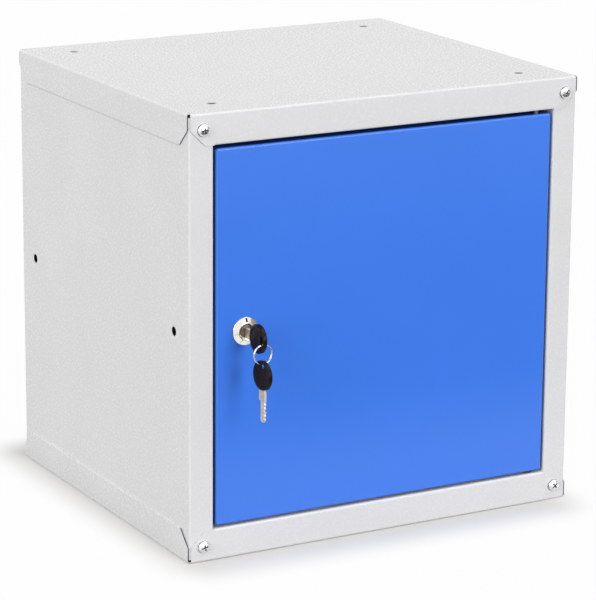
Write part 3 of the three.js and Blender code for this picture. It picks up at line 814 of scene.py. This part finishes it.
def housing_rows(s, depth):
    """The lock's cone, recess and threaded barrel about local Z, the door's face at 0.

    A profile of radius and height is carried round the axis. Beside the index mark the grid's
    lines run at fixed distances from the line through the top, angle = asin(distance / radius),
    and the others are spread evenly. Between its lines the mark is sunk along the axis.
    """
    floor, corner = s.bezel_height - s.recess_depth, 0.28 * MM
    front = eased(
        [
            (s.bore, -depth),
            (s.bore, floor),
            (s.recess_radius, floor),
            (s.recess_radius, s.bezel_height),
            (s.crest_radius, s.bezel_height),
            (s.bezel_radius, s.bezel_rim + LOCK_SEAT),
            (s.bezel_radius, LOCK_SEAT),
            (s.barrel_radius, LOCK_SEAT),
        ],
        corner,
    )[EASE_STEPS:]
    cone = np.linspace(0.04, 0.96, 10)[:, None]
    crest = np.array([s.crest_radius, s.bezel_height])
    foot = np.array([s.bezel_radius, s.bezel_rim + LOCK_SEAT])
    on_cone = crest + cone * (foot - crest)
    first = 4 * EASE_STEPS  # rows up to the crest
    profile = np.concatenate([[(s.bore, -depth)], front[:first], on_cone, front[first:]])
    barrel = np.linspace(0, -depth, int(depth / s.thread_pitch * THREAD_STEPS))
    profile = np.concatenate([profile, np.stack([barrel * 0 + s.barrel_radius, barrel], axis=1)])
    radius, along = profile[:, :1], profile[:, 1:]

    half = s.mark_width / 2
    beside = np.array([0, 0.45, 0.85]) * half
    close = np.arcsin(np.concatenate([beside, [half, 1.15 * half]])[None] / radius)
    far = close[:, -1:] + np.linspace(0, 1, 91)[None, 1:-1] * (TURN - 2 * close[:, -1:])
    angle = np.concatenate([close, far, TURN - close[:, :0:-1]], axis=1)
    sunk = np.zeros(angle.shape[1])
    sunk[: len(beside)] = 1
    sunk[1 - len(beside) :] = 1
    on_rows = np.zeros(len(profile))
    on_rows[first + 2 : first + 1 + len(cone)] = 1
    along = along - s.mark_depth * on_rows[:, None] * sunk[None]
    smooth = 8  # rows of the barrel before its thread begins
    threaded = np.zeros((len(profile), 1))
    threaded[smooth - len(barrel) :] = s.thread_depth
    radius = radius - threaded * thread(along, angle, s.thread_pitch)
    return np.stack([radius * np.sin(angle), radius * np.cos(angle), along], axis=-1)


def blade_rows(k, shares):
    """A key's blade, shoulder and tang: a closed section carried along local X.

    The section's upper edge is the blade's edge less the deepest cut there, a trapezoid round
    each cut's place. Its two sides have milled grooves, which run out before the shoulder.
    """
    low = k.blade_offset - k.blade_width / 2
    high = k.blade_offset + k.blade_width / 2
    half = k.blade_thickness / 2
    ease, run_out, depth, first_cut = 0.14 * MM, 0.8 * MM, 0.42 * half, 0.75
    tip = -k.blade_length
    slants = tip + k.blade_tip
    stations = np.unique(np.round([*np.linspace(tip, 0, 201), slants], 8))
    cuts = slants + (np.arange(len(shares)) + first_cut) * k.cut_pitch
    flat = k.cut_width / 4
    slope = np.clip((k.cut_width - np.abs(stations[:, None] - cuts)) / (k.cut_width - flat), 0, 1)
    cut = (slope * np.array(shares) * k.blade_width).max(axis=1)
    slant = np.clip(slants - stations, 0, None)
    upper = high - np.maximum(cut, slant)
    lower = low + slant
    groove = depth * np.clip(-stations / run_out, 0, 1) ** 0.5

    def section(x, top, bottom, sunk):
        right, left = (
            [np.clip(level * MM, bottom + ease, top - ease) for level in groove]
            for groove in (RIGHT_GROOVE, LEFT_GROOVE)
        )
        y = [top, top, top - ease, *right, bottom + ease, bottom, bottom, bottom + ease]
        y += [*left, top - ease]
        z = [-half + ease, half - ease, half, half, half - sunk, half - sunk, half]
        z += [half, half - ease, -half + ease, -half]
        z += [-half, sunk - half, sunk - half, -half, -half]
        x, *sides = np.broadcast_arrays(x, *y, *z)
        y, z = np.array(sides).reshape(2, len(y), len(x))
        return np.stack([x + 0 * y, y, z], axis=-1).transpose(1, 0, 2)

    blade = section(stations, upper, lower, groove)
    wide, inner = k.shoulder_width / 2, k.tang_width / 2
    end = k.shoulder_length
    last = end + k.tang_length
    x = np.array([0, ease, end - ease, end, end, last])
    reach = np.array([wide - ease, wide, wide, wide - ease, inner, inner])
    plate = section(x, reach, -reach, 0 * x)
    rows = np.concatenate([blade, plate])
    caps = rows[[0, -1]].mean(axis=1, keepdims=True) + 0 * rows[[0, -1]]
    return np.concatenate([caps[:1], rows, caps[1:]])


def head_rows(k):
    """A moulded key head: a grid between the ring's slot and the oval's outline, on both faces.

    Rays leave the slot's middle. Each is split from the slot's edge to the outline, and the
    face's height there is half the thickness, less a quarter circle at the rim and at the slot,
    less the sunk panel, which starts a border's width inside the outline.
    """
    half, edge = k.head_thickness / 2, k.head_edge
    begin = k.shoulder_length + k.head_gap
    centre = begin + k.head_length / 2
    slot = begin + k.head_length - k.slot_from_end
    a, b = k.head_length / 2, k.head_width / 2
    angle = np.linspace(0, TURN, 160, endpoint=False)
    cos, sin = np.cos(angle), np.sin(angle)

    arc, straight = k.slot_width / 2, k.slot_length / 2 - k.slot_width / 2
    side = arc / np.maximum(np.abs(cos), NEVER_ZERO)
    reach = np.abs(sin) * straight
    round_end = reach + np.sqrt(np.maximum(reach**2 - straight**2 + arc**2, 0))
    inner = np.where(side * np.abs(sin) <= straight, side, round_end)

    offset = slot - centre
    p = (cos / a) ** 2 + (sin / b) ** 2
    q = offset * cos / a**2
    outer = (-q + np.sqrt(q**2 - p * (offset**2 / a**2 - 1))) / p

    share = (1 - np.cos(np.linspace(0, math.pi, 56)[:, None])) / 2
    radius = inner + share * (outer - inner)
    x, y = slot + radius * cos, radius * sin
    level = np.hypot((x - centre) / a, y / b)
    steep = np.hypot((x - centre) / a**2, y / b**2) / np.maximum(level, NEVER_ZERO)
    inside = (1 - level) / np.maximum(steep, NEVER_ZERO)
    from_slot = (radius - inner) * np.minimum(1, np.abs(cos) + 0.75)

    def quarter(distance, rounding):
        left = np.clip(rounding - distance, 0, rounding)
        return rounding - np.sqrt(rounding**2 - left**2)

    def step(distance, width):
        t = np.clip(distance / width, 0, 1)
        return t * t * (3 - 2 * t)

    slope, slot_edge = 0.5 * MM, 0.45 * MM
    panel = step(inside - k.border, slope) * step(slot - arc - k.border / 2 - x, slope)
    height = half - quarter(inside, edge) - quarter(from_slot, slot_edge) - k.panel_depth * panel
    face = np.stack([x, y, height], axis=-1)
    back = face[::-1] * np.array([1, 1, -1])
    return np.concatenate([face, back])


def ring_rows(r):
    """Round wire along a helix: centre = (R cos t, R sin t, pitch * t / turn), tube about it."""
    loops = r.loops
    t = np.linspace(0, loops * TURN, int(96 * loops) + 1)[:, None]
    across = np.linspace(0, TURN, 16, endpoint=False)[None]
    out = np.concatenate([np.cos(t), np.sin(t), 0 * t], axis=1)[:, None]
    lead = r.pitch / TURN
    centre = r.radius * out + np.array([0, 0, 1]) * (lead * (t - loops * TURN / 2))[:, None]
    way = np.concatenate([-r.radius * np.sin(t), r.radius * np.cos(t), 0 * t + lead], axis=1)
    way /= np.linalg.norm(way, axis=1, keepdims=True)
    up = np.cross(out[:, 0], way)[:, None]
    tube = centre + r.wire * (np.cos(across)[..., None] * out + np.sin(across)[..., None] * up)
    return np.concatenate([centre[:1] + 0 * tube[:1], tube, centre[-1:] + 0 * tube[-1:]])


# Operators


class LOCKER_OT_cabinet(bpy.types.Operator):
    """Make the folded cabinet panels with rounded sheet edges and a light grey coat"""

    bl_idname = "locker.cabinet"
    bl_label = "Cabinet panels"

    def execute(self, context):
        for node in ("top_panel", "bottom_panel"):
            piece = dressed(node, node + "_folded", "cabinet", "cabinet", 0.12)
            self.darken_cut_ends(piece.data, node)
        for node in ("left_side_panel", "right_side_panel"):
            dressed(node, node + "_folded", "cabinet", "cabinet", 0.22)
        dressed("back_panel", "back_panel_sheet", "cabinet", "cabinet", 0.2)
        return {"FINISHED"}

    def darken_cut_ends(self, mesh, node):
        """Gives the cut ends of a tray's side flanges a dark grey finish.

        Such a face lies within the flange's sheet, near the flange's end, and faces neither
        out of the sheet nor straight up or down.
        """
        cut_ends, skin, sheet, near = 8, 0.05 * MM, 1.3 * MM, 20 * MM
        centres, normals = of_faces(mesh, "center"), np.abs(of_faces(mesh, "normal"))
        low, high = (np.array(corner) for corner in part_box(node))
        depth, from_end, _ = ((high - low) / 2 - np.abs(centres - (low + high) / 2)).T
        bare = (depth > skin) & (depth < sheet) & (from_end < near)
        bare &= (normals[:, 0] < 0.1) & (normals[:, 2] < 0.9)
        refinish(mesh, "edge", bare)
        if bare.sum() != cut_ends:
            raise RuntimeError(f"{node}: {bare.sum()} cut ends found")


class LOCKER_OT_door(bpy.types.Operator):
    """Make the folded door with a blue coat, and its pins and washer"""

    bl_idname = "locker.door"
    bl_label = "Door and hinge"

    def execute(self, context):
        dressed("door_panel", "door_folded", "door", "door", 0.24)
        for node in ("lower_hinge_pin", "upper_hinge_pin"):
            dressed(node, node + "_turned", "steel", "door", 0.3)
        dressed("hinge_washer", "hinge_washer_moulded", "nylon", "cabinet", 0.12)
        return {"FINISHED"}


class LOCKER_OT_screws(bpy.types.Operator):
    """Make the pan head screws and hexagon nuts of the cabinet"""

    bl_idname = "locker.screws"
    bl_label = "Screws and nuts"

    def execute(self, context):
        s = context.scene.locker_screw
        turns = np.radians([12, 40, 8, 71, 25, 55, 3, 33])
        for turn, (place, sign) in zip(turns, PLACES.items()):
            node = "screw_" + place
            low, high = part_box(node)
            origin = middle(node)
            # The shank ends inside, one screw length behind the head's seat
            origin[1] = high.y - s.length if sign < 0 else low.y + s.length
            rows = placed(screw_rows(s, turn), origin, (-sign, 0, 0), (0, 0, 1), (0, sign, 0))
            piece = shown(woven("pan_screw_" + place, rows), "zinc", "cabinet", node)
            self.paint_recess_shade(piece.data, origin, sign, s)
            hex_nut("hex_nut_" + place, "nut_" + place, s, "cabinet")
        return {"FINISHED"}

    def paint_recess_shade(self, mesh, origin, sign, s):
        """Gives the faces that lie under the crown, inside the cross, a dark grey: painted shade
        in the recess.
        """
        away = of_faces(mesh, "center") - origin
        height = away[:, 1] * sign
        under = crown(s, np.hypot(away[:, 0], away[:, 2])) - RECESS_EDGE
        refinish(mesh, "recess", (height > s.head_rim) & (height < under))


class LOCKER_OT_lock(bpy.types.Operator):
    """Make the cam lock: housing with its index mark, plug, nut, washer, cam and wafers"""

    bl_idname = "locker.lock"
    bl_label = "Cam lock"

    def execute(self, context):
        s = context.scene.locker_lock
        low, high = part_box("lock_housing")
        origin = middle("lock_housing")
        origin[1] = low.y + s.bezel_height
        rows = housing_rows(s, high.y - origin[1])
        rows = placed(rows, origin, (1, 0, 0), (0, 0, 1), (0, -1, 0))
        mesh = woven("lock_housing_turned", rows, closed=True, degrees=40)
        piece = shown(mesh, "chrome", "door", "lock_housing")
        self.fill_mark(piece.data, origin, s)

        hex_nut("lock_nut_turned", "lock_nut", s, "door")
        dressed("lock_washer", "lock_washer_stamped", "zinc", "door", 0.12)
        dressed("lock_plug", "lock_plug_turned", "plug", "lock", 0.14)
        dressed("lock_cam", "lock_cam_stamped", "zinc", "lock", 0.25)
        dressed("cam_screw", "cam_screw_turned", "zinc", "lock", 0.2)
        # The wafers stay as the CAD has them, with a better finish
        for name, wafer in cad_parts.items():
            if name.startswith("lock_wafer"):
                for slot in wafer.material_slots:
                    slot.material = finish("brass")
        return {"FINISHED"}

    def fill_mark(self, mesh, origin, s):
        """Gives the faces on the floor of the index mark the black filling."""
        away = of_faces(mesh, "center") - origin
        radius = np.hypot(away[:, 0], away[:, 2])
        rise = s.bezel_height - s.bezel_rim - LOCK_SEAT
        share = (s.bezel_radius - radius) / (s.bezel_radius - s.crest_radius)
        cone = s.bezel_rim + LOCK_SEAT + rise * share
        within = (np.abs(away[:, 0]) < s.mark_width / 2) & (away[:, 2] > s.crest_radius)
        sunk = -away[:, 1] < cone - 0.2 * s.mark_depth
        on_cone = (radius < s.bezel_radius) & (-away[:, 1] > 0.5 * s.bezel_rim)
        refinish(mesh, "ink", within & sunk & on_cone)


class LOCKER_OT_keys(bpy.types.Operator):
    """Make the key in the lock and the spare key on the ring"""

    bl_idname = "locker.keys"
    bl_label = "Keys"

    def execute(self, context):
        k = context.scene.locker_key
        _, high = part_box("key_blade")
        origin = middle("key_blade")
        origin[1] = high.y - k.blade_length
        self.key(k, origin, ((0, -1, 0), (0, 0, 1), (-1, 0, 0)), "key")

        low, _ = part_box("spare_key_blade")
        origin = middle("spare_key_blade")
        origin[2] = low.z + k.blade_length
        cos, sin = math.cos(k.spare_turn), math.sin(k.spare_turn)
        self.key(k, origin, ((0, 0, 1), (sin, -cos, 0), (cos, sin, 0)), "spare_key")
        return {"FINISHED"}

    def key(self, k, origin, axes, body):
        """One key: its blade and its head, in the place of the two CAD nodes."""
        rows = placed(blade_rows(k, KEY_CUTS), origin, *axes)
        shown(woven(body + "_blade_milled", rows, degrees=28), "nickel", body, body + "_blade")
        rows = placed(head_rows(k), origin, *axes)
        head = woven(body + "_head_moulded", rows, closed=True, degrees=50)
        shown(head, "plastic", body, body + "_head")


class LOCKER_OT_ring(bpy.types.Operator):
    """Make the split ring"""

    bl_idname = "locker.ring"
    bl_label = "Split ring"

    def execute(self, context):
        rows = ring_rows(context.scene.locker_ring)
        rows = placed(rows, middle("key_ring"), (1, 0, 0), (0, 0, 1), (0, 1, 0))
        shown(woven("split_ring", rows), "ring", "ring", "key_ring")
        return {"FINISHED"}


class LOCKER_OT_stage(bpy.types.Operator):
    """Make the floor, the soft lamps, the white surroundings and the camera"""

    bl_idname = "locker.stage"
    bl_label = "Stage"

    def execute(self, context):
        studio = context.scene.locker_studio
        context.scene.view_settings.view_transform = "Standard"
        self.surroundings(context.scene, studio)
        self.floor(studio)
        for name, (setting, towards, degrees) in LAMPS.items():
            self.lamp(name, getattr(studio, setting), towards, degrees)
        for name, (tone, first, second, rise) in FLAGS.items():
            self.flag(name, tone, first, second, rise)
        self.camera(context.scene, studio)
        return {"FINISHED"}

    def by_ray(self, light, seen):
        """One shader as a light, another for rays from the camera, a gloss or through glass."""
        path = add(light, "LightPath").outputs
        either = path["Is Camera Ray"]
        for ray in ("Is Glossy Ray", "Is Transmission Ray"):
            either = maths("MAXIMUM", either, path[ray])
        return mixed(either, light, seen)

    def surroundings(self, scene, studio):
        """White to the eye and to gloss, and softer as a light."""
        world = bpy.data.worlds.new("White surroundings")
        world.use_nodes = True
        tree = world.node_tree
        tree.nodes.clear()
        light, white = (
            add(tree, "Background", {"Color": WHITE, "Strength": strength}).outputs[0]
            for strength in (studio.sky, 1)
        )
        add(tree, "OutputWorld", {"Surface": self.by_ray(light, white)})
        scene.world = world

    def plate(self, name, corners, title):
        """A flat piece with four corners, in a new material that has no shader yet."""
        mesh = bpy.data.meshes.new(name)
        mesh.from_pydata(corners, [], [(0, 1, 2, 3)])
        material, tree, place = new_material(title)
        tree.nodes.remove(tree.nodes["Principled BSDF"])
        mesh.materials.append(material)
        return linked(name, mesh), tree, place

    def floor(self, studio):
        """A wide plain floor at the object's foot, pale to the object and white to the eye.

        Its glow grows with the distance from the object's foot: the length of a vector whose
        parts are the ways sideways and forward beyond the foot, each over its own span, so the
        floor falls softly to the dark contact line that the photo shows.
        """
        reach = 12
        corners = [(-reach, -reach, 0), (reach, -reach, 0), (reach, reach, 0), (-reach, reach, 0)]
        floor, tree, place = self.plate("floor", corners, "Matt white floor")
        way = place["Object"]
        for operation, value in (
            ("ADD", GLOW_SHIFT),
            ("ABSOLUTE", None),
            ("SUBTRACT", GLOW_FOOT),
            ("MAXIMUM", (0, 0, 0)),
            ("MULTIPLY", GLOW_SPANS),
        ):
            inputs = {0: way} if value is None else {0: way, 1: value}
            way = add(tree, "VectorMath", inputs, operation=operation).outputs[0]
        far = add(tree, "VectorMath", {0: way}, operation="LENGTH").outputs["Value"]
        # Painted shadow: less glow near the foot darkens the floor beyond the real shadow that
        # its matt part keeps
        glows = (studio.foot_glow, studio.far_glow)
        share = mapped(far, GLOW_START, GLOW_START + 1, *glows, interpolation_type="SMOOTHSTEP")
        dimmed, plain = (
            add(tree, "BsdfDiffuse", {"Color": (*tone, 1)}).outputs[0]
            for tone in (studio.near_tone, studio.floor_tone)
        )
        glow = add(tree, "Emission", {"Color": WHITE, "Strength": 1}).outputs[0]
        surface = self.by_ray(plain, mixed(share, dimmed, glow))
        fill(tree.nodes["Material Output"], {"Surface": surface})

    def flag(self, name, tone, first, second, rise):
        """A card glowing in its tone that only gloss shows: a painted reflection, which gives the
        plated metal its contrast.
        """
        corners = np.array([first, second, second, first], float)
        corners[2:] += rise
        card, tree, _ = self.plate(name, corners.tolist(), "Dark felt of " + name)
        for rays in ("camera", "diffuse", "transmission", "volume_scatter", "shadow"):
            setattr(card, "visible_" + rays, False)
        glow = add(tree, "Emission", {"Color": (*linear(tone), 1), "Strength": 1})
        fill(tree.nodes["Material Output"], {"Surface": glow.outputs[0]})

    def lamp(self, name, strength, towards, degrees):
        """A far lamp, as wide in the sky as the given angle."""
        light = bpy.data.lights.new(name, "SUN")
        light.energy = strength
        light.angle = math.radians(degrees)
        lamp = linked(name, light)
        way = Vector(towards)
        lamp.rotation_euler = way.to_track_quat("Z", "Y").to_euler()
        lamp.location = way.normalized() * 3

    def camera(self, scene, studio):
        """A long lens left of the front and above it. The rows are right, down and forward."""
        right = (0.87379987, -0.48622672, 0.00757418)
        down = (-0.11899446, -0.22889557, -0.96615068)
        forward = (0.47150197, 0.84332105, -0.25786721)
        eye = (-1.31999, -2.37437, 0.89860)
        data = bpy.data.cameras.new("Camera")
        data.sensor_width = 36
        data.lens = studio.lens / MM
        data.clip_start, data.clip_end = 0.05, 60
        camera = linked("Camera", data)
        columns = (right, -Vector(down), -Vector(forward), eye)
        camera.matrix_world = Matrix([*zip(*columns), (0, 0, 0, 1)])
        scene.camera = camera


OPERATORS = (
    LOCKER_OT_cabinet,
    LOCKER_OT_door,
    LOCKER_OT_screws,
    LOCKER_OT_lock,
    LOCKER_OT_keys,
    LOCKER_OT_ring,
    LOCKER_OT_stage,
)


class VIEW3D_PT_locker(bpy.types.Panel):
    """Lists the locker's pieces and their sizes"""

    bl_idname = "VIEW3D_PT_locker"
    bl_label = "Cube locker"
    bl_space_type = "VIEW_3D"
    bl_region_type = "UI"
    bl_category = "Locker"

    def draw(self, context):
        for operator in OPERATORS:
            self.layout.operator(operator.bl_idname)
        for name, group in GROUPS.items():
            box = self.layout.box()
            box.label(text=group.__doc__)
            for key in group.__annotations__:
                box.prop(getattr(context.scene, name), key)


CLASSES = (*GROUPS.values(), *OPERATORS, VIEW3D_PT_locker)


def register():
    for made in CLASSES:
        bpy.utils.register_class(made)
    for name, group in GROUPS.items():
        setattr(bpy.types.Scene, name, bpy.props.PointerProperty(type=group))


def unregister():
    for name in GROUPS:
        delattr(bpy.types.Scene, name)
    for made in reversed(CLASSES):
        bpy.utils.unregister_class(made)


def main():
    """Makes every piece and the stage."""
    register()
    for operator in OPERATORS:
        getattr(bpy.ops.locker, operator.bl_idname.partition(".")[2])()


if __name__ == "__main__":
    main()
